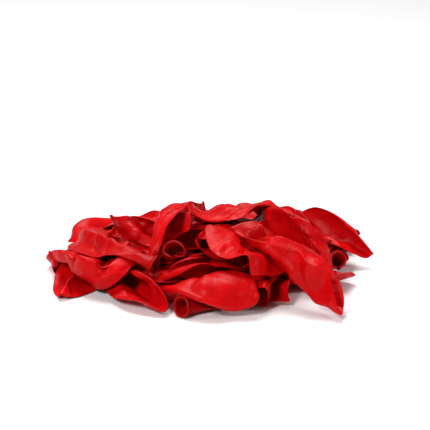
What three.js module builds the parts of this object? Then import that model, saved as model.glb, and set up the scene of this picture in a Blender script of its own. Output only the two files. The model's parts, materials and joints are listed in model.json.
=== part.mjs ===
// A heap of uninflated round latex balloons, as they lie when a bag of them is tipped out.
// Millimetres, +Z up, +Y to the back of the heap. The origin is on the table, under the middle of the
// heap's bounding box.
//
// Every balloon is the same moulding: a dipped latex bag, round about its own axis, with a lip rolled
// at its mouth. It is turned here as a lathe shape, then laid flat along a thin sheet. The sheets are
// lowered one after another onto the heap, where they rest on each other without passing through.
import * as THREE from "three";

// The moulding: distance from the lip, and radius there, from the crown to the neck
const flatLength = 108;
const crownRows = [
  [104, 4.4],
  [96, 9.4],
  [84, 13.8],
  [70, 16.2],
  [56, 15.6],
  [43, 12.7],
  [32, 9.6],
  [22, 7.2],
  [12, 6.4],
  [5, 6.3],
];
const lipRadius = 7.6; // outside of the rolled lip
const lipRoll = 1.5; // how far the roll reaches along the neck
const wall = 1.1; // from the lip's outside to the mouth's hole
const throatDepth = 13; // the mouth's hole, where it stands open
const throatTaper = 0.8; // how much narrower the hole gets
const throatEnd = 0.5; // how far its end is hollowed
const openLength = 26; // a mouth that stands open is flat again this far in

// How a balloon lies
const heldAir = 0.6; // half the thickness of a flat balloon, at its middle
const restDepth = 0.3; // what is closer to the table than this lies on it
const flatMouth = 1.5; // half the height of a mouth that is pressed flat
const leastHalf = 0.3; // and the least half height inside it
const crownTaperLength = 14; // a balloon gets thinner over this length at its crown
const foldStart = 5; // from here a fold along the balloon sets in
const foldFull = 50; // and here it has its full angle
const fineSteps = 12; // lathe segments of a balloon that shows
const plainSteps = 8; // and of one deep in the heap

// Resting on each other
const ballStep = 2.6; // spacing of the balls that keep two sheets apart
const ballMargin = 0.55; // how much larger the balls are than the sheet is thick
const sameSheetReach = 7; // balls of one sheet closer than this never meet
const threadHold = 0.8; // how strongly a thread keeps its length
const slantHold = 0.4; // the same across a square
const bendHold = 0.15; // how strongly a bend springs back
const cellSize = 2.6; // of the grid that finds balls near each other
const smallBall = 1.3; // balls up to this radius meet only in neighbouring cells
const lowerStep = 0.8; // how far a sheet sinks at a time in the open
const pressStep = 0.15; // and once it has met another
const pressSteps = 70; // steps in which it comes to rest
const looseSteps = 150; // then the whole heap is drawn together
const calmSteps = 50; // more softly
const lastSteps = 260; // and left to itself, its threads slackening
const lastMargin = 0.1; // with this much more room between sheets
const overPush = 1.3; // balls are parted by more than they overlap
const mostRise = 2; // how far a slipped ball is brought up at a time
const gridSpan = 128; // cells across the table
const gridRise = 36; // and up
const gridEdge = 4; // cells kept free around
const slipReach = 0.3; // of their squared room: balls closer than this across are one above the other

// The heap, in the order it was laid. spine: the middle line, from the mouth to the crown. lean: how
// far the sheet is rolled about the spine, in degrees, at the mouth and at the crown. fold: how far its
// two sides are folded up towards each other. crease: half the width of that fold. open: how far the
// mouth stands open, from 0 to 1. air: half its thickness. plain: it lies deep in the heap.
const heap = [
  {
    name: "core_front", plain: true,
    spine: [[50, -38, 3], [20, -22, 3], [-10, 0, 3], [-40, 40, 3]],
  },
  {
    name: "core_middle", plain: true,
    spine: [[-60, -14, 3], [-25, -8, 3], [10, 4, 3], [48, 14, 3]],
  },
  {
    name: "back_mouth", open: 0.9,
    spine: [[16, 90, 8], [14, 72, 6], [6, 42, 4], [0, 0, 3]],
  },
  {
    name: "left_mouth", open: 0.9, fold: 60,
    spine: [[-97, 50, 8], [-80, 44, 6], [-50, 32, 5], [-8, 20, 4]],
  },
  {
    name: "right_back_mouth", open: 0.9, fold: -60,
    spine: [[106, 44, 8], [90, 38, 6], [62, 26, 5], [18, 4, 4]],
  },
  {
    name: "front_mouth", open: 1,
    spine: [[-21, -87, 8], [-8, -77, 6], [20, -50, 3], [45, -10, 3]],
  },
  {
    name: "right_low_leaf", fold: 80, crease: 8, lean: [0, -30],
    spine: [[5, -8, 5], [35, -26, 5], [72, -36, 5], [106, -21, 4]],
  },
  {
    name: "right_ring", open: 1, fold: 60,
    spine: [[93, -17, 9], [82, -3, 9], [62, 20, 7], [34, 62, 5]],
  },
  {
    name: "back_left_leaf", plain: true, fold: 80,
    spine: [[-10, 58, 6], [-42, 64, 6], [-72, 60, 6], [-98, 42, 4]],
  },
  {
    name: "left_far", fold: 90, crease: 6,
    spine: [[-88, -4, 3], [-108, -4, 3], [-116, 1, 7], [-92, 12, 11], [-46, 36, 10]],
  },
  {
    name: "left_facet", fold: -150, crease: 4,
    spine: [[-58, 34, 9], [-76, 12, 11], [-90, -12, 10], [-96, -41, 3]],
  },
  {
    name: "under_leaf", fold: 130, crease: 6,
    spine: [[-10, 12, 9], [14, -14, 10], [34, -40, 9], [47, -66, 6]],
  },
  {
    name: "back_right_leaf", plain: true, fold: -80,
    spine: [[10, 62, 8], [40, 66, 7], [72, 62, 6], [100, 56, 4]],
  },
  {
    name: "mid_flat", fold: 50,
    spine: [[-22, -36, 12], [10, -50, 14], [38, -57, 13], [44, -60, 8], [32, -60, 3], [5, -58, 2]],
  },
  {
    name: "front_dome", air: 6, lean: [0, 18],
    spine: [[-42, -22, 9], [-30, -44, 9], [-8, -66, 9], [31, -82, 5]],
  },
  {
    name: "left_twist", fold: 140, crease: 6, lean: [0, 25],
    spine: [[-60, 12, 9], [-64, -16, 9], [-52, -50, 8], [-28, -86, 3]],
  },
  {
    name: "left_crown", air: 1.2, fold: -60, crease: 12,
    spine: [[-62, 36, 14], [-54, 4, 15], [-44, -22, 14], [-29, -46, 9]],
  },
  {
    name: "mid_long", fold: 130, crease: 6, lean: [0, -30],
    spine: [[66, -20, 14], [48, -36, 15], [22, -44, 16], [-6, -49, 14], [-31, -55, 8]],
  },
  {
    name: "right_back_leaf", fold: 110, crease: 6,
    spine: [[20, 70, 9], [50, 46, 10], [75, 22, 10], [99, -3, 8]],
  },
  {
    name: "dark_layer", plain: true, fold: 60,
    spine: [[-62, 4, 15], [-30, -10, 17], [0, -22, 17], [42, -30, 17]],
  },
  {
    name: "small_neck", lean: [20, 0], fold: 100, crease: 6,
    spine: [[47, -51, 18], [56, -38, 16], [72, -14, 12], [60, 34, 10]],
  },
  {
    name: "right_far", lean: [0, 60], fold: 130, crease: 6,
    spine: [[28, 62, 14], [54, 48, 15], [86, 29, 14], [108, 15, 9], [119, 10, 4]],
  },
  {
    name: "back_top_left", plain: true, fold: -90,
    spine: [[20, 30, 20], [-4, 44, 18], [-30, 62, 13], [-54, 78, 8]],
  },
  {
    name: "left_dome", lean: [0, -25], fold: -70, crease: 20, air: 1.2,
    spine: [[-14, 52, 17], [-42, 38, 20], [-66, 18, 18], [-84, -4, 9]],
  },
  {
    name: "left_tent", fold: -140, crease: 4,
    spine: [[-46, -28, 25], [-63, -39, 21], [-80, -54, 7], [-90, -46, 4], [-102, -24, 5]],
  },
  {
    name: "left_ring_body", open: 1, fold: -120, crease: 5,
    spine: [[-36, -48, 13], [-62, -36, 12], [-84, -4, 8], [-92, 28, 6]],
  },
  {
    name: "rear_left_layer", lean: [0, 30], fold: 80,
    spine: [[12, 50, 20], [-14, 42, 24], [-44, 42, 18], [-76, 46, 9]],
  },
  {
    name: "back_top_right", plain: true, fold: 90,
    spine: [[0, 30, 22], [24, 44, 20], [44, 62, 13], [57, 86, 6]],
  },
  {
    name: "flat_tube", fold: 70,
    spine: [[85, -4, 16], [66, 8, 16], [50, 30, 13], [30, 70, 8]],
  },
  {
    name: "mid_mouth", open: 0.9, fold: 60,
    spine: [[-26, -44, 21], [-24, -26, 19], [-30, 4, 14], [-40, 52, 10]],
  },
  {
    name: "cave_arch", lean: [75, 75], fold: 130, crease: 8,
    spine: [[-76, 20, 14], [-54, 11, 20], [-30, 8, 22], [2, 14, 21]],
  },
  {
    name: "right_diamond", lean: [0, 45], fold: 70, crease: 5,
    spine: [[36, 34, 12], [40, 4, 19], [52, -30, 22], [74, -38, 17], [92, -34, 8]],
  },
  {
    name: "diagonal_fold", lean: [0, 20],
    spine: [[48, -4, 32], [32, -13, 34], [8, -24, 34], [-6, -31, 31], [-2, -36, 26], [36, -57, 17]],
  },
  {
    name: "creased_panel", lean: [10, -15], fold: 30,
    spine: [[10, -42, 25], [38, -60, 16], [44, -66, 15], [40, -65, 20], [22, -54, 28], [3, -38, 36]],
  },
  {
    name: "top_loop", open: 0.8, fold: 80,
    spine: [[60, 12, 27], [45, 20, 25], [20, 28, 21], [-36, 36, 14]],
  },
  {
    name: "upper_leaf", fold: 150, crease: 6, lean: [0, 30],
    spine: [[18, 42, 22], [28, 14, 30], [38, -10, 34], [56, -27, 31], [68, -40, 25]],
  },
  {
    name: "tall_fold", fold: 150, crease: 6, lean: [-60, -75],
    spine: [[0, 46, 24], [-16, 26, 33], [-30, 10, 39], [-36, -6, 32], [-40, -24, 20]],
  },
  {
    name: "top_crumple", fold: -80, crease: 12, air: 1.2, lean: [0, -20],
    spine: [[72, 40, 18], [58, 31, 29], [43, 22, 37], [18, 13, 39], [-4, 8, 35]],
  },
  {
    name: "right_leaf", lean: [-10, -50], fold: 150, crease: 6,
    spine: [[26, -25, 41], [29, -42, 32], [46, -56, 25], [68, -74, 11], [87, -98, 4]],
  },
];

const rad = THREE.MathUtils.degToRad;
const clamp = THREE.MathUtils.clamp;
const lerp = THREE.MathUtils.lerp;
const smooth = THREE.MathUtils.smoothstep;

// Radius of the moulding at a distance from its lip
const radiusRows = [[0, lipRadius], ...[...crownRows].reverse(), [flatLength, 0]];
const sheetRows = radiusRows.slice(0, -1).map((row) => row[0]);
function mouldRadius(along) {
  const next = clamp(radiusRows.findIndex((row) => row[0] >= along), 1, radiusRows.length - 1);
  const [a, ra] = radiusRows[next - 1];
  const [b, rb] = radiusRows[next];
  return lerp(ra, rb, clamp((along - a) / (b - a), 0, 1));
}

// Half the width and half the thickness of a lying balloon at a distance from its lip. Flat, its half
// width is a quarter of its girth.
function halfSizes(balloon, along) {
  const radius = mouldRadius(along);
  const inward = smooth(along, 0, openLength);
  const round = balloon.open * (1 - inward);
  const crownTaper = Math.sqrt(clamp((flatLength - along) / crownTaperLength, 0.2, 1));
  const pressed = lerp(flatMouth, balloon.air * crownTaper, inward);
  return {
    width: lerp((radius * Math.PI) / 2, radius, round),
    depth: lerp(pressed, radius, round),
  };
}

// Where a sheet would lie if nothing was in its way: its points row by row, from the lip, edge to edge,
// and the crown last.
function wantedSheet(balloon) {
  const points = [];
  let across = null;
  for (const along of [...sheetRows, flatLength]) {
    const share = along / balloon.spineLength;
    const place = balloon.curve.getPointAt(Math.min(share, 1));
    const tangent = balloon.curve.getTangentAt(Math.min(share, 1));
    if (share > 1) place.addScaledVector(tangent, along - balloon.spineLength);
    across ??= new THREE.Vector3(0, 0, 1).cross(tangent);
    across.addScaledVector(tangent, -across.dot(tangent)).normalize();
    const lean = rad(lerp(...balloon.lean, along / flatLength));
    const width = across.clone().applyAxisAngle(tangent, lean);
    const normal = tangent.clone().cross(width);
    if (along === flatLength) points.push(place);
    else {
      const turn = rad(balloon.fold / 2) * smooth(along, foldStart, foldFull) + 1e-4;
      const bend = turn / balloon.crease;
      for (const off of acrossOffsets(balloon, along)) {
        const inBend = Math.min(Math.abs(off), balloon.crease);
        const past = Math.abs(off) - inBend;
        const side = Math.sin(bend * inBend) / bend + past * Math.cos(turn);
        const rise = (1 - Math.cos(bend * inBend)) / bend + past * Math.sin(turn);
        const point = place.clone().addScaledVector(width, Math.sign(off) * side);
        points.push(point.addScaledVector(normal, rise));
      }
    }
  }
  return points;
}

// Distances from the middle line of a row's points, as even turns about the axis lie once it is flat
function acrossOffsets(balloon, along) {
  const half = halfSizes(balloon, along).width;
  const turn = Math.PI / (balloon.columns - 1);
  return Array.from({ length: balloon.columns }, (_, k) => half * Math.cos(turn * k));
}

const pointIndex = (balloon, row, column) =>
  row < sheetRows.length ? row * balloon.columns + column : sheetRows.length * balloon.columns;
const pointCount = (balloon) => sheetRows.length * balloon.columns + 1;

// Flat coordinates of a sheet's points: distance from the lip, and from the middle line
function flatSheet(balloon) {
  const rows = sheetRows.map((along) => acrossOffsets(balloon, along).map((off) => [along, off]));
  return [...rows.flat(), [flatLength, 0]];
}

// The lengths that hold a sheet in shape, as [point, point, length, hold]: its threads don't stretch,
// and its bends spring back softly to the way it was folded.
function sheetLinks(balloon, flat, wanted) {
  const links = [];
  const thread = (a, b, hold) => {
    links.push([a, b, Math.hypot(flat[a][0] - flat[b][0], flat[a][1] - flat[b][1]), hold]);
  };
  const bend = (a, b) => links.push([a, b, wanted[a].distanceTo(wanted[b]), bendHold]);
  for (let row = 0; row < sheetRows.length; row++) {
    for (let column = 0; column < balloon.columns; column++) {
      const here = pointIndex(balloon, row, column);
      const ahead = pointIndex(balloon, row + 1, column);
      thread(here, ahead, threadHold);
      if (row + 2 <= sheetRows.length) bend(here, pointIndex(balloon, row + 2, column));
      if (column + 2 < balloon.columns) bend(here, pointIndex(balloon, row, column + 2));
      if (column + 1 === balloon.columns) continue;
      const beside = pointIndex(balloon, row, column + 1);
      thread(here, beside, threadHold);
      if (row + 1 === sheetRows.length) continue;
      thread(here, pointIndex(balloon, row + 1, column + 1), slantHold);
      thread(beside, ahead, slantHold);
    }
  }
  return links;
}

// Balls spread over a sheet as thick as it is, each carried by the four points around it
function sheetBalls(balloon, flat) {
  const balls = [];
  for (let row = 0; row < sheetRows.length; row++) {
    for (let column = 0; column + 1 < balloon.columns; column++) {
      const corners = [[row, column], [row, column + 1], [row + 1, column], [row + 1, column + 1]]
        .map(([r, c]) => pointIndex(balloon, r, c));
      const [near, nearBeside, ahead, aheadBeside] = corners.map((index) => flat[index]);
      const long = Math.max(1, Math.round((ahead[0] - near[0]) / ballStep));
      const span = Math.max(near[1] - nearBeside[1], ahead[1] - aheadBeside[1]);
      const wide = Math.max(1, Math.round(span / ballStep));
      const longEnd = row === sheetRows.length - 1 ? long : long - 1;
      const wideEnd = column === balloon.columns - 2 ? wide : wide - 1;
      for (let m = 0; m <= longEnd; m++) {
        for (let n = 0; n <= wideEnd; n++) {
          const [v, u] = [m / long, n / wide];
          const weights = u + v < 1 ? [1 - u - v, u, v, 0] : [0, 1 - v, 1 - u, u + v - 1];
          const carried = (k) => weights.reduce((sum, w, c) => sum + w * flat[corners[c]][k], 0);
          const [along, off] = [carried(0), carried(1)];
          const half = halfSizes(balloon, along);
          const share = Math.min(1, Math.abs(off) / Math.max(half.width, 0.1));
          const thick = half.depth * Math.sqrt(1 - share * share);
          const toEdge = half.width * (1 - share) + heldAir;
          const radius = clamp(thick, heldAir, Math.max(toEdge, heldAir)) + ballMargin;
          balls.push({ corners, weights, along, off, radius });
        }
      }
    }
  }
  return balls;
}

// Steps from a grid cell to those around it, out to a reach
function cellSteps(reach) {
  const span = Array.from({ length: 2 * reach + 1 }, (_, k) => k - reach);
  const layer = (z) => span.flatMap((y) => span.map((x) => (z * gridSpan + y) * gridSpan + x));
  return Int32Array.from(span.flatMap(layer));
}
const cellsAround = cellSteps(1);
const cellsWide = [2, 3, 4].map(cellSteps);

// The sheets, lowered one after another, pressing on each other and on the table
class Pile {
  constructor(balloons) {
    this.sheets = [];
    const links = [];
    const balls = [];
    const goal = [];
    for (const balloon of balloons) {
      const first = goal.length / 3;
      const [firstLink, firstBall] = [links.length, balls.length];
      const flat = flatSheet(balloon);
      const wanted = wantedSheet(balloon);
      for (const point of wanted) goal.push(...point.toArray());
      for (const [a, b, length, hold] of sheetLinks(balloon, flat, wanted)) {
        links.push([first + a, first + b, length, hold]);
      }
      for (const ball of sheetBalls(balloon, flat)) {
        const corners = ball.corners.map((index) => first + index);
        balls.push({ ...ball, corners, sheet: this.sheets.length });
      }
      const ends = { end: goal.length / 3, linkEnd: links.length, ballEnd: balls.length };
      this.sheets.push({ first, firstLink, firstBall, ...ends });
    }
    this.goal = Float64Array.from(goal);
    this.at = new Float64Array(goal.length);
    this.push = new Float64Array(goal.length);
    this.pushed = new Float64Array(goal.length / 3);
    this.linkPoint = Int32Array.from(links.flatMap((link) => [link[0], link[1]]));
    this.linkLength = Float64Array.from(links.map((link) => link[2]));
    this.linkHold = Float64Array.from(links.map((link) => link[3]));
    this.corner = Int32Array.from(balls.flatMap((ball) => ball.corners));
    this.weight = Float64Array.from(balls.flatMap((ball) => ball.weights));
    this.radius = Float64Array.from(balls.map((ball) => ball.radius));
    this.sheetOf = Int32Array.from(balls.map((ball) => ball.sheet));
    this.along = Float64Array.from(balls.map((ball) => ball.along));
    this.off = Float64Array.from(balls.map((ball) => ball.off));
    this.centre = new Float64Array(3 * balls.length);
    this.cell = new Int32Array(balls.length);
    this.next = new Int32Array(balls.length);
    this.cells = new Int32Array(gridSpan * gridSpan * gridRise);
    this.heldCells = new Int32Array(this.cells.length);
    this.bigBalls = balls.map((_, i) => i).filter((i) => this.radius[i] > smallBall);
    this.laid = 0;
  }

  cellAt(x, y, z) {
    const cell = (v, span, middle) =>
      clamp(Math.floor(v / cellSize) + middle, gridEdge, span - 1 - gridEdge);
    const gx = cell(x, gridSpan, gridSpan / 2);
    const gy = cell(y, gridSpan, gridSpan / 2);
    const gz = cell(z, gridRise, gridEdge);
    return (gz * gridSpan + gy) * gridSpan + gx;
  }

  // Puts balls where their four points carry them, and sorts them into the grid's cells
  placeBalls(from, to) {
    for (let i = from; i < to; i++) {
      for (let axis = 0; axis < 3; axis++) {
        let sum = 0;
        for (let k = 4 * i; k < 4 * i + 4; k++) sum += this.weight[k] * this.at[3 * this.corner[k] + axis];
        this.centre[3 * i + axis] = sum;
      }
      const cell = this.cellAt(this.centre[3 * i], this.centre[3 * i + 1], this.centre[3 * i + 2]);
      this.cell[i] = cell;
      this.next[i] = this.cells[cell];
      this.cells[cell] = i;
    }
  }

  nudge(i, x, y, z) {
    for (let k = 4 * i; k < 4 * i + 4; k++) {
      const w = this.weight[k];
      const point = this.corner[k];
      this.push[3 * point] += w * x;
      this.push[3 * point + 1] += w * y;
      this.push[3 * point + 2] += w * z;
      this.pushed[point] += w;
    }
  }

  // Parts two balls that overlap, each by its share of the way, and returns how far they overlapped
  partPair(i, j, share) {
    const { centre, radius, sheetOf } = this;
    const room = radius[i] + radius[j];
    const dx = centre[3 * i] - centre[3 * j];
    const dy = centre[3 * i + 1] - centre[3 * j + 1];
    const beside2 = dx * dx + dy * dy;
    if (beside2 >= room * room) return 0;
    const dz = centre[3 * i + 2] - centre[3 * j + 2];
    const later = sheetOf[i] - sheetOf[j];
    if (later * dz < 0 && beside2 < slipReach * room * room) {
      // the sheet laid later has slipped below, so it is brought back up
      const rise = share * Math.sign(later) * Math.min(room + Math.abs(dz), mostRise);
      this.nudge(i, 0, 0, rise);
      this.nudge(j, 0, 0, -rise);
      return room + Math.abs(dz);
    }
    const apart2 = beside2 + dz * dz;
    if (apart2 >= room * room || apart2 < 1e-9) return 0;
    if (later === 0) {
      const flatApart = Math.abs(this.along[i] - this.along[j]) + Math.abs(this.off[i] - this.off[j]);
      if (flatApart < sameSheetReach + room) return 0;
    }
    const apart = Math.sqrt(apart2);
    const step = (share * (room - apart)) / apart;
    this.nudge(i, dx * step, dy * step, dz * step);
    this.nudge(j, -dx * step, -dy * step, -dz * step);
    return room - apart;
  }

  // Parts all balls that overlap, and lifts those that reach below the table. The sheets before the
  // first one given stay where they are.
  part(firstSheet) {
    const { cells, next, cell, radius } = this;
    const { first: firstPoint, firstBall } = this.sheets[firstSheet];
    const { end, ballEnd } = this.sheets[this.laid - 1];
    if (firstBall > 0) cells.set(this.heldCells);
    else cells.fill(-1);
    this.placeBalls(firstBall, ballEnd);
    this.push.fill(0);
    this.pushed.fill(0);
    let deepest = 0;
    for (let i = firstBall; i < ballEnd; i++) {
      const sunk = radius[i] - ballMargin - this.centre[3 * i + 2];
      if (sunk > 0) this.nudge(i, 0, 0, sunk);
      if (radius[i] > smallBall) continue;
      for (const offset of cellsAround) {
        for (let j = cells[cell[i] + offset]; j >= 0; j = next[j]) {
          if (j >= i || radius[j] > smallBall) continue;
          deepest = Math.max(deepest, this.partPair(i, j, j < firstBall ? 1 : 0.5));
        }
      }
    }
    for (const i of this.bigNear) {
      const reach = Math.ceil((radius[i] + smallBall) / cellSize);
      for (const offset of cellsWide[Math.max(reach, 2) - 2]) {
        for (let j = cells[cell[i] + offset]; j >= 0; j = next[j]) {
          const held = (i < firstBall) + (j < firstBall);
          if (held === 2 || (radius[j] > smallBall && j >= i)) continue;
          deepest = Math.max(deepest, this.partPair(i, j, held ? 1 : 0.5));
        }
      }
    }
    for (let point = firstPoint; point < end; point++) {
      if (this.pushed[point] < 1e-9) continue;
      const share = overPush / Math.max(this.pushed[point], 0.3);
      for (let k = 3 * point; k < 3 * point + 3; k++) this.at[k] += share * this.push[k];
    }
    return deepest;
  }

  // Brings every link back towards its length
  tighten(firstSheet, ease = 1) {
    const { at, linkPoint } = this;
    for (let k = this.sheets[firstSheet].firstLink; k < this.sheets[this.laid - 1].linkEnd; k++) {
      const a = 3 * linkPoint[2 * k];
      const b = 3 * linkPoint[2 * k + 1];
      const dx = at[b] - at[a];
      const dy = at[b + 1] - at[a + 1];
      const dz = at[b + 2] - at[a + 2];
      const now = Math.sqrt(dx * dx + dy * dy + dz * dz);
      if (now < 1e-6) continue;
      const share = (0.5 * ease * this.linkHold[k] * (now - this.linkLength[k])) / now;
      at[a] += share * dx;
      at[a + 1] += share * dy;
      at[a + 2] += share * dz;
      at[b] -= share * dx;
      at[b + 1] -= share * dy;
      at[b + 2] -= share * dz;
    }
  }

  // Moves points towards the places they are wanted at, raised by lift, by a share of the way
  draw(first, end, share, most, lift = 0) {
    for (let point = first; point < end; point++) {
      for (let axis = 0; axis < 3; axis++) {
        const k = 3 * point + axis;
        const away = this.goal[k] + (axis === 2 ? lift : 0) - this.at[k];
        this.at[k] += clamp(share * away, -most, most);
      }
    }
  }

  // How far a sheet has to be raised from its wanted place to clear those already laid
  clearLift(sheet) {
    const { first, end, firstBall, ballEnd } = sheet;
    this.at.set(this.goal.subarray(3 * first, 3 * end), 3 * first);
    this.placeBalls(firstBall, ballEnd);
    let lift = 0;
    for (let i = firstBall; i < ballEnd; i++) {
      lift = Math.max(lift, this.radius[i] - this.centre[3 * i + 2]);
      for (let j = 0; j < firstBall; j++) {
        const dx = this.centre[3 * i] - this.centre[3 * j];
        const dy = this.centre[3 * i + 1] - this.centre[3 * j + 1];
        const room2 = (this.radius[i] + this.radius[j]) ** 2 - dx * dx - dy * dy;
        if (room2 <= 0) continue;
        lift = Math.max(lift, this.centre[3 * j + 2] - this.centre[3 * i + 2] + Math.sqrt(room2));
      }
    }
    return lift;
  }

  // The big balls near a sheet that is being laid
  bigBallsNear({ firstBall, ballEnd }) {
    const reach = (from, to, axis) => {
      const values = [];
      for (let i = from; i < to; i++) values.push(this.centre[3 * i + axis]);
      return [Math.min(...values) - lipRadius * 2, Math.max(...values) + lipRadius * 2];
    };
    const [x, y] = [0, 1].map((axis) => reach(firstBall, ballEnd, axis));
    return this.bigBalls.filter((i) => i < ballEnd && this.centre[3 * i] > x[0] && this.centre[3 * i] < x[1]
      && this.centre[3 * i + 1] > y[0] && this.centre[3 * i + 1] < y[1]);
  }

  // Lowers the next sheet onto the others
  lay() {
    const number = this.laid;
    const sheet = this.sheets[number];
    this.cells.fill(-1);
    this.placeBalls(0, sheet.firstBall);
    this.heldCells.set(this.cells);
    let lift = this.clearLift(sheet);
    for (let k = 3 * sheet.first + 2; k < 3 * sheet.end; k += 3) this.at[k] += lift;
    this.laid++;
    this.bigNear = this.bigBallsNear(sheet);
    // once it has met another, it sinks slowly
    for (let met = false, left = pressSteps; left > 0; left -= lift > 0 ? 0 : 1) {
      lift = Math.max(0, lift - lowerStep);
      this.draw(sheet.first, sheet.end, met ? 0.1 : 0.5, met ? pressStep : lowerStep, lift);
      this.tighten(number);
      met = this.part(number) > 0.2 || met;
    }
    this.bigNear = this.bigBalls.filter((i) => i < sheet.ballEnd);
    for (let k = 0; k < 6; k++) this.relax(0.05, 0.2);
  }

  relax(share, most, ease = 1) {
    this.draw(0, this.sheets[this.laid - 1].end, share, most);
    this.tighten(0, ease);
    return this.part(0);
  }

  settle() {
    while (this.laid < this.sheets.length) this.lay();
    for (let k = 0; k < looseSteps; k++) this.relax(0.05, 0.25);
    for (let k = 0; k < calmSteps; k++) this.relax(0.02, 0.1);
    for (let i = 0; i < this.radius.length; i++) this.radius[i] += lastMargin;
    for (let k = 0; k < lastSteps; k++) this.relax(0, 0, 1 - k / lastSteps);
  }

  point(sheet, index) {
    return new THREE.Vector3().fromArray(this.at, 3 * (this.sheets[sheet].first + index));
  }
}

// The moulding's outline: crown, wall, rolled lip, and the throat back to the axis
function mouldOutline(balloon) {
  const inner = lipRadius - wall - lipRoll / 2;
  const standsOpen = balloon.open > 0.3;
  const deep = throatDepth * balloon.open;
  const hole = [[inner - throatTaper / 4, deep / 2], [inner - throatTaper, deep], [0, deep + throatEnd]];
  return [
    [0, flatLength],
    ...crownRows.map(([along, radius]) => [radius, along]),
    [lipRadius, lipRoll],
    [lipRadius - wall / 2, 0],
    [inner, lipRoll],
    ...(standsOpen ? hole : [[0, lipRoll * 2]]),
  ].map(([radius, along]) => new THREE.Vector2(radius, along));
}

// The settled sheet of one balloon, with its normals
class Sheet {
  constructor(balloon, pile, number) {
    this.balloon = balloon;
    this.points = Array.from({ length: pointCount(balloon) }, (_, index) => pile.point(number, index));
    this.normals = [];
    const at = (row, column) => this.points[pointIndex(balloon, row, column)];
    for (let row = 0; row < sheetRows.length; row++) {
      for (let column = 0; column < balloon.columns; column++) {
        const ahead = at(row + 1, column).clone().sub(at(Math.max(row - 1, 0), column));
        const side = at(row, Math.max(column - 1, 0)).clone()
          .sub(at(row, Math.min(column + 1, balloon.columns - 1)));
        this.normals.push(ahead.cross(side).normalize());
      }
    }
  }

  // The place of a moulding's point on the sheet, from its turn about the axis, distance from the lip
  // and radius. At radius 0 it is on the middle line.
  lay(turn, along, radius) {
    const { balloon, points, normals } = this;
    if (along >= flatLength) return points[points.length - 1].clone();
    const column = turn < balloon.columns ? turn : balloon.steps - turn;
    const ahead = clamp(sheetRows.findIndex((row) => row >= along), 1, sheetRows.length - 1);
    const share = (along - sheetRows[ahead - 1]) / (sheetRows[ahead] - sheetRows[ahead - 1]);
    const between = (values, c) => values[pointIndex(balloon, ahead - 1, c)].clone()
      .lerp(values[pointIndex(balloon, ahead, c)], share);
    const full = mouldRadius(along);
    const depth = radius > 0 ? Math.max(halfSizes(balloon, along).depth + radius - full, leastHalf) : 0;
    const lifted = depth * Math.sin((2 * Math.PI * turn) / balloon.steps);
    return between(points, (balloon.columns - 1) / 2)
      .lerp(between(points, column), radius / full)
      .addScaledVector(between(normals, column).normalize(), lifted);
  }
}

// The lathe shape's faces, each square split the same way on both sides of the sheet
function matchedFaces(rows, steps) {
  const faces = [];
  for (let i = 0; i < steps; i++) {
    for (let j = 0; j + 1 < rows; j++) {
      const a = j + i * rows;
      const [b, c, d] = [a + rows, a + rows + 1, a + 1];
      if (i < steps / 2) faces.push(a, b, c, c, d, a);
      else faces.push(a, b, d, c, d, b);
    }
  }
  return faces;
}

// A balloon's solid: the lathe shape, its points laid onto its sheet, and flat where it is on the table
function layDown(balloon, sheet) {
  const outline = mouldOutline(balloon);
  const geometry = new THREE.LatheGeometry(outline, balloon.steps);
  geometry.deleteAttribute("normal");
  geometry.deleteAttribute("uv");
  geometry.setIndex(matchedFaces(outline.length, balloon.steps));
  const place = geometry.getAttribute("position");
  for (let i = 0; i < place.count; i++) {
    const turn = (balloon.steps - (Math.floor(i / outline.length) % balloon.steps)) % balloon.steps;
    const { x: radius, y: along } = outline[i % outline.length];
    const laid = sheet.lay(turn, along, radius);
    place.setXYZ(i, laid.x, laid.y, laid.z < restDepth ? 0 : laid.z);
  }
  return geometry;
}

const latexLook = { name: "latex", color: 0xc4121a, roughness: 0.42, metalness: 0 };

const balloons = heap.map((row) => {
  const balloon = { open: 0, air: heldAir, crease: 12, fold: 0, lean: [0, 0], ...row };
  const spine = balloon.spine.map((point) => new THREE.Vector3(...point));
  balloon.curve = new THREE.CatmullRomCurve3(spine, false, "centripetal");
  balloon.spineLength = balloon.curve.getLength();
  balloon.steps = balloon.plain ? plainSteps : fineSteps;
  balloon.columns = balloon.steps / 2 + 1;
  return balloon;
});

const pile = new Pile(balloons);
pile.settle();

const group = new THREE.Group();
balloons.forEach((balloon, number) => {
  const geometry = layDown(balloon, new Sheet(balloon, pile, number));
  const mesh = new THREE.Mesh(geometry, new THREE.MeshStandardMaterial(latexLook));
  mesh.name = balloon.name;
  group.add(mesh);
});

const middle = new THREE.Box3().setFromObject(group).getCenter(new THREE.Vector3());
for (const mesh of group.children) mesh.geometry.translate(-middle.x, -middle.y, 0);

export default group;
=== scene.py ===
import bpy
import bmesh
import json
import math
import random
import numpy as np
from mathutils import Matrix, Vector, noise
from mathutils.bvhtree import BVHTree


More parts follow.
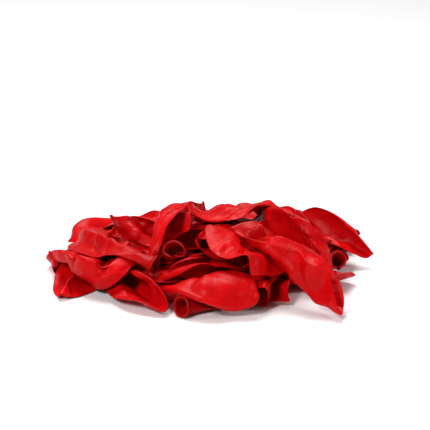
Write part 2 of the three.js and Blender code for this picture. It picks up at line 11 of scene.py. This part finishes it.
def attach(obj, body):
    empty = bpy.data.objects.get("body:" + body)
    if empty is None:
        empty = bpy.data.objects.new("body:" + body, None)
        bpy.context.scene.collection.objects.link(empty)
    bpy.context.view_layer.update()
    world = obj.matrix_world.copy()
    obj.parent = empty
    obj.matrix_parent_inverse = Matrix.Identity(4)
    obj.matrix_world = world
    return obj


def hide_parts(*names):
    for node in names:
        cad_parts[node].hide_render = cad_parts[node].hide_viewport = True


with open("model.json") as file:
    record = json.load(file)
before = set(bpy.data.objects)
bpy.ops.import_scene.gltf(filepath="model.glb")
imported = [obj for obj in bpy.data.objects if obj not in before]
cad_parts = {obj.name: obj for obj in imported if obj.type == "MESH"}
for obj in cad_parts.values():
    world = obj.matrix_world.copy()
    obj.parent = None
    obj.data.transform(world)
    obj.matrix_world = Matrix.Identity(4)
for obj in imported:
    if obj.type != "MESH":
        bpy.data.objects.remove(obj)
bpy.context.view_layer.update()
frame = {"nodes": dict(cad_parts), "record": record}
print("frame loaded:", len(frame["nodes"]), "balloons")

mm = 0.001
mergeDistance = 0.002 * mm
tiny = 1e-9
tinyArea = 1e-12

# the moulding, as its rings lie on the frame's balloons: mm from the lip and mm of radius, crown first
moulding = {
    "along": [108, 104, 96, 84, 70, 56, 43, 32, 22, 12, 5],
    "radius": [0, 4.4, 9.4, 13.8, 16.2, 15.6, 12.7, 9.6, 7.2, 6.4, 6.3],
    "roundSteps": (8, 12),     # points in a ring, on the plain and the finer balloons
    "crownRings": 7,           # rings that tell the crown from the throat's end
}
flatLength = moulding["along"][0]


def deselectAll():
    for o in bpy.context.selected_objects:
        o.select_set(False)


def mergedCopy(node):
    # a copy of a frame's balloon with its loose triangles merged
    deselectAll()
    node.select_set(True)
    bpy.context.view_layer.objects.active = node
    bpy.ops.object.duplicate()
    copy = bpy.context.view_layer.objects.active
    copy.parent = None
    for key in list(copy.keys()):
        if key.startswith("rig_"):
            del copy[key]
    bpy.ops.object.mode_set(mode="EDIT")
    bpy.ops.mesh.select_all(action="SELECT")
    bpy.ops.mesh.remove_doubles(threshold=mergeDistance)
    bpy.ops.object.mode_set(mode="OBJECT")
    return copy


# reading a balloon's rings

def ringDistances(start, count):
    # how many edges every point is from a pole
    far = [-1] * count
    far[start.index] = 0
    front = [start]
    while front:
        ahead = []
        for v in front:
            for e in v.link_edges:
                w = e.other_vert(v)
                if far[w.index] < 0:
                    far[w.index] = far[v.index] + 1
                    ahead.append(w)
        front = ahead
    return far


def linked(v, far, k):
    # the points joined to v that lie k edges from the crown
    return [e.other_vert(v) for e in v.link_edges if far[e.other_vert(v).index] == k]


def crownFirst(bm, poles):
    # the rings counted from the crown, whose first rings reach further than the throat's
    counts = []
    for pole in poles:
        far = ringDistances(pole, len(bm.verts))
        rings = [[v for v in bm.verts if far[v.index] == k] for k in range(max(far) + 1)]
        middles = [sum((v.co for v in ring), Vector()) / len(ring)
                   for ring in rings[:moulding["crownRings"]]]
        reach = sum((b - a).length for a, b in zip(middles, middles[1:]))
        counts.append((reach, rings, far))
    return max(counts, key=lambda count: count[0])[1:]


def orderedRings(rings, far, steps):
    # every ring in order from the side edge, the one point in it with a single link outwards
    grid = []
    order = None
    onward = None
    lastRing = len(rings) - 2
    for k in range(1, lastRing + 1):
        starts = [v for v in rings[k] if len(linked(v, far, k + 1)) == 1] if k < lastRing else [onward]
        if len(starts) != 1:
            return None
        beside = linked(starts[0], far, k)
        follows = [v for v in beside if order and v in linked(order[1], far, k)]
        order = [starts[0], (follows or beside)[0]]
        while len(order) < steps:
            nexts = [v for v in linked(order[-1], far, k) if v not in order]
            if not nexts:
                return None
            order.append(nexts[0])
        onward = linked(order[0], far, k + 1)[0]
        grid.append([list(v.co) for v in order])
    return np.array(grid)


def readRings(mesh):
    # the crown and the rings after it, or nothing if the mesh isn't made of regular rings
    bm = bmesh.new()
    bm.from_mesh(mesh)
    bm.verts.ensure_lookup_table()
    read = None
    poles = [v for v in bm.verts if len(v.link_edges) in moulding["roundSteps"]]
    if len(poles) == 2:
        steps = len(poles[0].link_edges)
        rings, far = crownFirst(bm, poles)
        if all(len(ring) == steps for ring in rings[1:-1]):
            grid = orderedRings(rings, far, steps)
            read = None if grid is None else (np.array(rings[0][0].co), grid)
    bm.free()
    return read


# smooth curves through the rings

def cubic(knots, values, at):
    # a smooth curve through values at knots, read at the places asked for
    knots = np.asarray(knots, float)
    values = np.asarray(values, float)
    slope = np.zeros_like(values)
    step = np.diff(knots)
    rise = np.diff(values, axis=0) / step.reshape(-1, *([1] * (values.ndim - 1)))
    for k in range(1, len(knots) - 1):
        share = step[k] / (step[k - 1] + step[k])
        slope[k] = share * rise[k - 1] + (1 - share) * rise[k]
    slope[0] = rise[0]
    slope[-1] = rise[-1]
    where = np.clip(np.searchsorted(knots, at, side="right") - 1, 0, len(knots) - 2)
    h = step[where]
    t = (np.asarray(at) - knots[where]) / h
    shape = (-1,) + (1,) * (values.ndim - 1)
    t, h = t.reshape(shape), h.reshape(shape)
    a, b = values[where], values[where + 1]
    ma, mb = slope[where] * h, slope[where + 1] * h
    return ((2 * t**3 - 3 * t**2 + 1) * a + (t**3 - 2 * t**2 + t) * ma
            + (3 * t**2 - 2 * t**3) * b + (t**3 - t**2) * mb)


def anglesRound(across):
    # angles round the balloon: even steps across its two sides, closer at its two edges
    shares = np.arange(across + 1) / across
    side = np.arccos(np.clip(0.5 * np.cos(math.pi * shares) + 0.5 * (1 - 2 * shares), -1, 1))
    return np.concatenate([side[:-1], 2 * math.pi - side[::-1][:-1]])


def roundCubic(grid, angles):
    # every ring as a smooth closed curve, read at the angles
    steps = grid.shape[1]
    knots = np.arange(-2, steps + 3) * (2 * math.pi / steps)
    wrapped = np.concatenate([grid[:, -2:], grid, grid[:, :3]], axis=1)
    return np.swapaxes(cubic(knots, np.swapaxes(wrapped, 0, 1), angles), 0, 1)


def halfWidths(along):
    # a flat balloon is half as wide as its moulding is round
    radius = np.interp(along, moulding["along"][::-1], moulding["radius"][::-1])
    return radius * math.pi / 2


# creases

crumple = {
    "swell": 0.7,              # mm height of the soft swells
    "swellSize": 24,           # mm between them
    "swellShape": (2.2, 0.4),  # how steep they are, and how far they sink between
    "fine": 0.28,
    "fineSize": 7,
    "fineSeed": 9.7,
    "folds": 12,               # straight creases on each balloon
    "foldAlong": (14, 98),     # where they lie, mm from the lip and mm off the middle
    "foldOff": (-20, 20),
    "foldHeight": (0.8, 1.9),
    "foldWidth": (3, 8),
    "foldReach": (12, 36),
    "foldFade": 1.15,
    "edgeCalm": 0.75,          # how much flatter the creases lie at a balloon's side edges
    "edgePower": 5,
    "neckStart": 3,            # mm from the lip where they begin, and over how many they grow
    "neckGrow": 14,
    "search": 9.0,             # mm within which other balloons count
    "roomShare": 0.42,         # of the free room round a balloon that its creases may use
    "contactSkin": 0.12,       # mm always left free
    "easeRounds": 3,
}

# how strongly each balloon is creased; the others take 1
creasing = {
    "front_dome": 0.55, "left_facet": 1.3, "left_tent": 1.2, "top_crumple": 1.6,
    "creased_panel": 1.3, "left_crown": 0.6, "left_dome": 0.9, "tall_fold": 1.1,
}


def foldLines(seed):
    # straight creases strewn over a balloon as it lies flat, some standing up and some pressed in
    draw = random.Random(seed)
    lines = []
    for _ in range(crumple["folds"]):
        lines.append({
            "along": draw.uniform(*crumple["foldAlong"]),
            "off": draw.uniform(*crumple["foldOff"]),
            "turn": draw.uniform(0, math.pi),
            "height": draw.uniform(*crumple["foldHeight"]) * draw.choice((1, 1, -1)),
            "width": draw.uniform(*crumple["foldWidth"]),
            "reach": draw.uniform(*crumple["foldReach"]),
        })
    return lines


def cloudAt(u, v, size, seed):
    return noise.noise(Vector((u / size, v / size, seed)))


def creaseHeights(along, off, seed):
    # how high the skin stands off its smooth shape, in mm: straight creases with sharp crests, then swells
    s = np.broadcast_to(along[:, None], off.shape)
    total = np.zeros(off.shape)
    for line in foldLines(seed):
        ds, dt = s - line["along"], off - line["off"]
        across = ds * math.sin(line["turn"]) - dt * math.cos(line["turn"])
        onward = ds * math.cos(line["turn"]) + dt * math.sin(line["turn"])
        crest = np.maximum(1 - np.abs(across) / line["width"], 0)
        fade = np.clip(crumple["foldFade"] - (np.abs(onward) / line["reach"]) ** 3, 0, 1)
        total += line["height"] * crest * fade
    steep, sink = crumple["swellShape"]
    for i in range(off.shape[0]):
        for j in range(off.shape[1]):
            u, v = s[i, j], off[i, j]
            swell = abs(cloudAt(u, v, crumple["swellSize"], seed)) * steep - sink
            fine = cloudAt(u, v, crumple["fineSize"], seed + crumple["fineSeed"])
            total[i, j] += swell * crumple["swell"] + fine * crumple["fine"]
    return total


def otherBalloons(name):
    # the skin of every balloon but one, to measure room against
    points, faces = [], []
    for other, node in frame["nodes"].items():
        if other == name:
            continue
        base = len(points)
        points += [v.co.copy() for v in node.data.vertices]
        faces += [[base + i for i in p.vertices] for p in node.data.polygons]
    return BVHTree.FromPolygons(points, faces)


def roomRound(points, name, mirror, half):
    # mm from both sides of a balloon to the floor and to the others, measured at every other point
    tree = otherBalloons(name)
    rows = len(points)
    someRows = sorted({*range(0, rows, 2), rows - 1})
    someColumns = sorted({*range(0, half + 1, 2), half})
    measured = np.zeros((len(someRows), len(someColumns)))
    for a, i in enumerate(someRows):
        for b, j in enumerate(someColumns):
            near = crumple["search"] * mm
            for k in (j, int(mirror[j])):
                near = min(near, max(points[i, k, 2], 0))
                hit = tree.find_nearest(Vector(points[i, k]), near)
                if hit[0] is not None:
                    near = min(near, hit[3])
            measured[a, b] = near / mm
    wide = np.array([np.interp(range(half + 1), someColumns, row) for row in measured])
    return np.array([np.interp(range(rows), someRows, column) for column in wide.T]).T


def easedDown(allowed):
    # a tight place holds back the skin beside it too
    for _ in range(crumple["easeRounds"]):
        padded = np.pad(allowed, 1, mode="edge")
        besides = [padded[1:-1, :-2], padded[1:-1, 2:], padded[:-2, 1:-1], padded[2:, 1:-1]]
        allowed = np.minimum(allowed, 0.5 * allowed + 0.5 * np.minimum.reduce(besides))
    return allowed


def crumpleSheet(points, along, angles, name, seed):
    # moves the two sides of a balloon together, as far as there is room round it
    count = points.shape[1]
    mirror = (-np.arange(count)) % count
    half = count // 2
    wide = np.cos(angles[: half + 1])
    sheet = ((points + points[:, mirror]) / 2)[:, : half + 1]
    normal = np.cross(np.gradient(sheet, axis=0), np.gradient(sheet, axis=1))
    normal = normal / np.maximum(np.linalg.norm(normal, axis=2, keepdims=True), tinyArea)
    off = wide[None, :] * halfWidths(along)[:, None]
    calm = 1 - crumple["edgeCalm"] * np.abs(wide) ** crumple["edgePower"]
    height = creasing.get(name, 1) * creaseHeights(along, off, seed) * calm
    free = np.maximum(roomRound(points, name, mirror, half) - crumple["contactSkin"], 0)
    allowed = easedDown(free * crumple["roomShare"])
    fade = np.clip((along - crumple["neckStart"]) / crumple["neckGrow"], 0, 1)[:, None]
    height = np.clip(height, -allowed, allowed) * fade * mm
    move = normal * height[..., None]
    out = points.copy()
    out[:, : half + 1] += move
    out[:, half + 1:] += move[:, 1:half][:, ::-1]
    return out


# lip and mouth

lip = {
    "radius": 0.9,             # mm, of the rolled bead
    "steps": 9,
    "turn": (-60, 180),        # degrees, from the neck round the outside and the tip to the inside
    "neckBack": 1.9,           # where the neck meets the bead, in bead radii
    "neckIn": 0.55,
    "neckShare": 0.85,
    "uvHeight": 3,             # mm of the flat balloon that the bead takes up
    "waves": (1, 2, 3),        # the waves round it that its ring keeps
    "evenUntil": 12,           # mm from the lip where the neck starts to run evenly, and over how many
    "evenOver": 7,
    "insideDepth": 20,         # mm that the mouth's inside goes in
    "insideShare": 0.72,       # how far apart the inside's walls are, of the outside
    "insideWide": 0.9,         # how wide the inside is, of the outside
}


def unit(ways):
    return ways / np.maximum(np.linalg.norm(ways, axis=1, keepdims=True), tiny)


def roundedRing(ring, angles):
    # a smooth closed curve close to a ring, so that a lip runs evenly round its mouth
    waves = [np.ones_like(angles)]
    for k in lip["waves"]:
        waves += [np.cos(k * angles), np.sin(k * angles)]
    waves = np.array(waves).T
    return waves @ np.linalg.lstsq(waves, ring, rcond=None)[0]


def beadRows(neck, outer, tip, inner):
    # the rolled lip: a round bead about the mouth
    outWay = unit(outer - inner)
    outWay = (outWay + np.roll(outWay, 1, axis=0) + np.roll(outWay, -1, axis=0)) / 3
    tipWay = tip - (outer + inner) / 2
    tipWay = unit(tipWay - outWay * np.sum(tipWay * outWay, axis=1, keepdims=True))
    radius = lip["radius"] * mm
    centre = outer - outWay * radius
    meeting = centre - tipWay * radius * lip["neckBack"] - outWay * radius * lip["neckIn"]
    rows = [neck + (meeting - neck) * lip["neckShare"]]
    first, last = (math.radians(turn) for turn in lip["turn"])
    for k in range(lip["steps"] + 1):
        a = first + (last - first) * k / lip["steps"]
        rows.append(centre + radius * (outWay * math.cos(a) + tipWay * math.sin(a)))
    return rows


def insideRow(row, angles):
    # the inside of one ring: the middle between its two sides, narrowed, with less room between them
    half = len(row) // 2
    mirror = (-np.arange(len(row))) % len(row)
    middle = (row + row[mirror]) / 2
    apart = row - middle
    wide = np.cos(angles)
    narrow = wide * lip["insideWide"]
    side = np.where(np.arange(len(row)) <= half, 1, -1)
    out = np.zeros_like(row)
    for k in range(3):
        centre = np.interp(narrow, wide[: half + 1][::-1], middle[: half + 1, k][::-1])
        near = np.interp(narrow, wide[: half + 1][::-1], apart[: half + 1, k][::-1])
        out[:, k] = centre + near * side * lip["insideShare"]
    return out


# the skin of one balloon

skin = {
    "rowStep": 0.95,           # mm between rows of points along a balloon
    "across": 46,              # columns across each of its two sides
    "hiddenRowStep": 3.0,      # coarser where nothing of the balloon shows
    "hiddenAcross": 16,
    "crownRows": [0.12, 0.5, 1.1, 2.0],     # mm from the crown
    "firstRow": 3.0,
    "uvWidth": 100,            # mm of the flat balloon that the pattern's width spans
    "seedStep": 3.1,
    "seedStart": 1.7,
}


def skinMesh(name, crown, rows, alongs, angles):
    # the rows joined into a closed skin, laid out flat for its pattern
    count = len(angles)
    lastRow = len(rows) - 1
    verts = [crown] + [p for row in rows for p in row] + [np.mean(rows[-1], axis=0)]
    faces = []
    corners = []

    def uvOf(r, c):
        offset = math.cos(angles[c % count]) * float(halfWidths(max(alongs[r], 0)))
        return (offset / skin["uvWidth"] + 0.5, alongs[r] / flatLength)

    for c in range(count):
        d = (c + 1) % count
        faces.append((0, 1 + c, 1 + d))
        corners += [(0.5, 1), uvOf(0, c), uvOf(0, d)]
    for r in range(lastRow):
        for c in range(count):
            d = (c + 1) % count
            a, b = 1 + r * count, 1 + (r + 1) * count
            faces.append((a + c, b + c, b + d, a + d))
            corners += [uvOf(r, c), uvOf(r + 1, c), uvOf(r + 1, d), uvOf(r, d)]
    base = 1 + lastRow * count
    for c in range(count):
        d = (c + 1) % count
        faces.append((base + c, len(verts) - 1, base + d))
        corners += [uvOf(lastRow, c), (0.5, alongs[-1] / flatLength), uvOf(lastRow, d)]
    mesh = bpy.data.meshes.new(name + "_skin")
    mesh.from_pydata([tuple(map(float, v)) for v in verts], [], faces)
    layer = mesh.uv_layers.new(name="flat")
    for k, uv in enumerate(corners):
        layer.data[k].uv = uv
    for v in mesh.vertices:
        v.co.z = max(v.co.z, 0)
    return mesh


def balloonMesh(name, crown, grid, hidden):
    angles = anglesRound(skin["hiddenAcross"] if hidden else skin["across"])
    rowStep = skin["hiddenRowStep"] if hidden else skin["rowStep"]
    rings = roundCubic(grid, angles)
    bodyRings = len(moulding["along"]) - 1
    depths = np.array([flatLength - a for a in moulding["along"]], float)
    stack = np.concatenate([np.broadcast_to(crown, (1, len(angles), 3)), rings[:bodyRings]])
    evenRows = np.arange(skin["firstRow"], depths[-1], rowStep)
    places = np.concatenate([skin["crownRows"], evenRows, [depths[-1]]])
    # read by the square root of the depth, so that the crown comes out round
    points = cubic(np.sqrt(depths), stack, np.sqrt(places))
    along = flatLength - places
    seed = skin["seedStep"] * sorted(frame["nodes"]).index(name) + skin["seedStart"]
    points = crumpleSheet(points, along, angles, name, seed)
    for i in np.nonzero(along < lip["evenUntil"])[0]:
        share = min((lip["evenUntil"] - along[i]) / lip["evenOver"], 1)
        points[i] += share * (roundedRing(points[i], angles) - points[i])
    lipRings = [roundedRing(ring, angles) for ring in rings[bodyRings: bodyRings + 3]]
    bead = beadRows(points[-1], *lipRings)
    deepest = int(np.searchsorted(-along, -lip["insideDepth"]))
    insides = range(len(points) - 1, deepest, -2)
    rows = list(points) + bead + [insideRow(points[i], angles) for i in insides]
    beadAlongs = [lip["uvHeight"] - lip["uvHeight"] * k / len(bead) for k in range(len(bead))]
    alongs = list(along) + beadAlongs + [float(along[i]) for i in insides]
    return skinMesh(name, crown, rows, alongs, angles)


def faceOut(obj):
    deselectAll()
    obj.select_set(True)
    bpy.context.view_layer.objects.active = obj
    bpy.ops.object.mode_set(mode="EDIT")
    bpy.ops.mesh.select_all(action="SELECT")
    bpy.ops.mesh.normals_make_consistent(inside=False)
    bpy.ops.object.mode_set(mode="OBJECT")
    bpy.ops.object.shade_smooth()


# latex

latexLook = {
    "red": (0.53, 0.001, 0.0025),
    "deepRed": (0.24, 0.0004, 0.001, 1),
    "powder": (0.52, 0.008, 0.01, 1),
    "roughness": (0.3, 0.48),
    "gloss": 0.08,
    "through": 0.06,           # how much light passes in the thin skin, how deep, and its colour
    "throughDepth": 0.0012,
    "throughColour": (1.0, 0.08, 0.05),
    "neckShare": 0.32,         # of a balloon's length that deepens in colour towards the lip
    "neckDeep": 0.55,
    "mottle": 0.38,
    "dusty": 0.3,
    "patches": 90,             # noise sizes per metre
    "streaks": 420,
    "streakRough": 0.6,
    "grain": 2600,
    "streakBump": (0.35, 0.0006),
    "grainBump": (0.12, 0.0001),
    "kinds": 5,
    "tones": (0.88, 1.1),
}


def latexMaterial(name, shift, tone):
    material = bpy.data.materials.new(name)
    material.use_nodes = True
    nodes, links = material.node_tree.nodes, material.node_tree.links
    shader = nodes["Principled BSDF"]
    shader.inputs["Subsurface Weight"].default_value = latexLook["through"]
    shader.inputs["Subsurface Radius"].default_value = latexLook["throughColour"]
    shader.inputs["Subsurface Scale"].default_value = latexLook["throughDepth"]
    shader.inputs["Specular IOR Level"].default_value = latexLook["gloss"]
    place = nodes.new("ShaderNodeTexCoord")
    turn = nodes.new("ShaderNodeMapping")
    turn.inputs["Location"].default_value = shift
    links.new(place.outputs["Object"], turn.inputs["Vector"])

    def cloud(scale, detail, rough=0.5):
        node = nodes.new("ShaderNodeTexNoise")
        node.inputs["Scale"].default_value = scale
        node.inputs["Detail"].default_value = detail
        node.inputs["Roughness"].default_value = rough
        links.new(turn.outputs["Vector"], node.inputs["Vector"])
        return node.outputs["Fac"]

    def ramp(source, low, high, dark, light):
        node = nodes.new("ShaderNodeMapRange")
        node.inputs["From Min"].default_value = low
        node.inputs["From Max"].default_value = high
        node.inputs["To Min"].default_value = dark
        node.inputs["To Max"].default_value = light
        links.new(source, node.inputs["Value"])
        return node.outputs["Result"]

    def bump(source, strength, distance):
        node = nodes.new("ShaderNodeBump")
        node.inputs["Strength"].default_value = strength
        node.inputs["Distance"].default_value = distance
        links.new(source, node.inputs["Height"])
        return node

    patches = cloud(latexLook["patches"], 3)
    grain = cloud(latexLook["grain"], 2)
    streaks = cloud(latexLook["streaks"], 3, latexLook["streakRough"])

    # thicker and deeper in colour towards the lip, and mottled all over
    flat = nodes.new("ShaderNodeSeparateXYZ")
    links.new(place.outputs["UV"], flat.inputs["Vector"])
    deeper = nodes.new("ShaderNodeMath")
    deeper.operation = "ADD"
    deeper.use_clamp = True
    neck = ramp(flat.outputs["Y"], 0.0, latexLook["neckShare"], latexLook["neckDeep"], 0.0)
    links.new(neck, deeper.inputs[0])
    links.new(ramp(patches, 0.35, 0.7, 0.0, latexLook["mottle"]), deeper.inputs[1])
    colour = nodes.new("ShaderNodeMix")
    colour.data_type = "RGBA"
    colour.inputs["A"].default_value = tuple(c * tone for c in latexLook["red"]) + (1,)
    colour.inputs["B"].default_value = latexLook["deepRed"]
    links.new(deeper.outputs["Value"], colour.inputs["Factor"])

    # powder along the streaks
    dust = nodes.new("ShaderNodeMix")
    dust.data_type = "RGBA"
    dust.inputs["B"].default_value = latexLook["powder"]
    links.new(ramp(streaks, 0.5, 0.8, 0.0, latexLook["dusty"]), dust.inputs["Factor"])
    links.new(colour.outputs["Result"], dust.inputs["A"])
    links.new(dust.outputs["Result"], shader.inputs["Base Color"])
    links.new(ramp(streaks, 0.3, 0.75, *latexLook["roughness"]), shader.inputs["Roughness"])

    # fine wrinkles and grain
    wrinkles = bump(streaks, *latexLook["streakBump"])
    grains = bump(grain, *latexLook["grainBump"])
    links.new(wrinkles.outputs["Normal"], grains.inputs["Normal"])
    links.new(grains.outputs["Normal"], shader.inputs["Normal"])
    return material


draws = random.Random(11)
latexes = []
for k in range(latexLook["kinds"]):
    shift = tuple(draws.uniform(-1, 1) for _ in range(3))
    latexes.append(latexMaterial("latex_red_%d" % k, shift, draws.uniform(*latexLook["tones"])))
print("latex made")

# the balloons
bodies = (frame["record"].get("behaviour") or {}).get("bodies", {})
bodyOf = {node: body for body, nodes in bodies.items() for node in nodes}
hiddenNames = {"core_front", "core_middle", "back_left_leaf", "back_right_leaf", "dark_layer",
               "back_top_left", "back_top_right"}

for name, node in sorted(frame["nodes"].items()):
    copy = mergedCopy(node)
    read = readRings(copy.data)
    if read is None:
        print("kept the frame's own shape for", name)
        piece = copy
        piece.name = name + "_balloon"
        bpy.ops.object.shade_smooth()
    else:
        crown, grid = read
        piece = bpy.data.objects.new(name + "_balloon", balloonMesh(name, crown, grid, name in hiddenNames))
        bpy.context.scene.collection.objects.link(piece)
        bpy.data.objects.remove(copy)
        faceOut(piece)
    piece.data.materials.clear()
    piece.data.materials.append(latexes[draws.randrange(len(latexes))])
    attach(piece, bodyOf.get(name, "root"))
    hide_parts(name)
print("balloons made")

# floor
table = {
    "size": 6,
    "place": (0, 1.6, -0.0004),
    "colour": (0.9, 0.9, 0.905, 1),
    "roughness": 0.22,
    "gloss": 0.35,
}
bpy.ops.mesh.primitive_plane_add(size=table["size"], location=table["place"])
floor = bpy.context.active_object
floor.name = "floor"
floorLook = bpy.data.materials.new("pale_gloss_floor")
floorLook.use_nodes = True
floorShader = floorLook.node_tree.nodes["Principled BSDF"]
floorShader.inputs["Base Color"].default_value = table["colour"]
floorShader.inputs["Roughness"].default_value = table["roughness"]
floorShader.inputs["Specular IOR Level"].default_value = table["gloss"]
floor.data.materials.append(floorLook)

# light
roomLight = 0.2
world = bpy.data.worlds.new("studio")
world.use_nodes = True
background = world.node_tree.nodes["Background"]
background.inputs["Color"].default_value = (1, 1, 1, 1)
background.inputs["Strength"].default_value = roomLight
bpy.context.scene.world = world

lamps = [
    {"name": "overhead", "place": (-0.3, 1.1, 2.4), "size": 1.6, "power": 82},
    {"name": "front", "place": (-0.7, -1.2, 1.1), "size": 0.4, "power": 22},
    {"name": "right", "place": (1.3, -0.3, 0.7), "size": 0.3, "power": 8},
]
for lamp in lamps:
    bpy.ops.object.light_add(type="AREA", location=lamp["place"])
    light = bpy.context.active_object
    light.name = lamp["name"] + "_lamp"
    light.data.size = lamp["size"]
    light.data.energy = lamp["power"]
    light.rotation_euler = (-Vector(lamp["place"])).to_track_quat("-Z", "Y").to_euler()

# camera
view = {
    "aim": Vector((0.0029, 0.0050, 0.0398)),
    "distance": 1.015,
    "down": math.radians(18),
    "lens": 116.3,
    "reach": 50,
}
ahead = Vector((0, math.cos(view["down"]), -math.sin(view["down"])))
bpy.ops.object.camera_add(location=view["aim"] - ahead * view["distance"])
camera = bpy.context.active_object
camera.name = "camera"
camera.rotation_euler = ahead.to_track_quat("-Z", "Y").to_euler()
camera.data.lens = view["lens"]
camera.data.clip_end = view["reach"]
bpy.context.scene.camera = camera
bpy.context.scene.view_settings.view_transform = "Standard"
print("stage made")
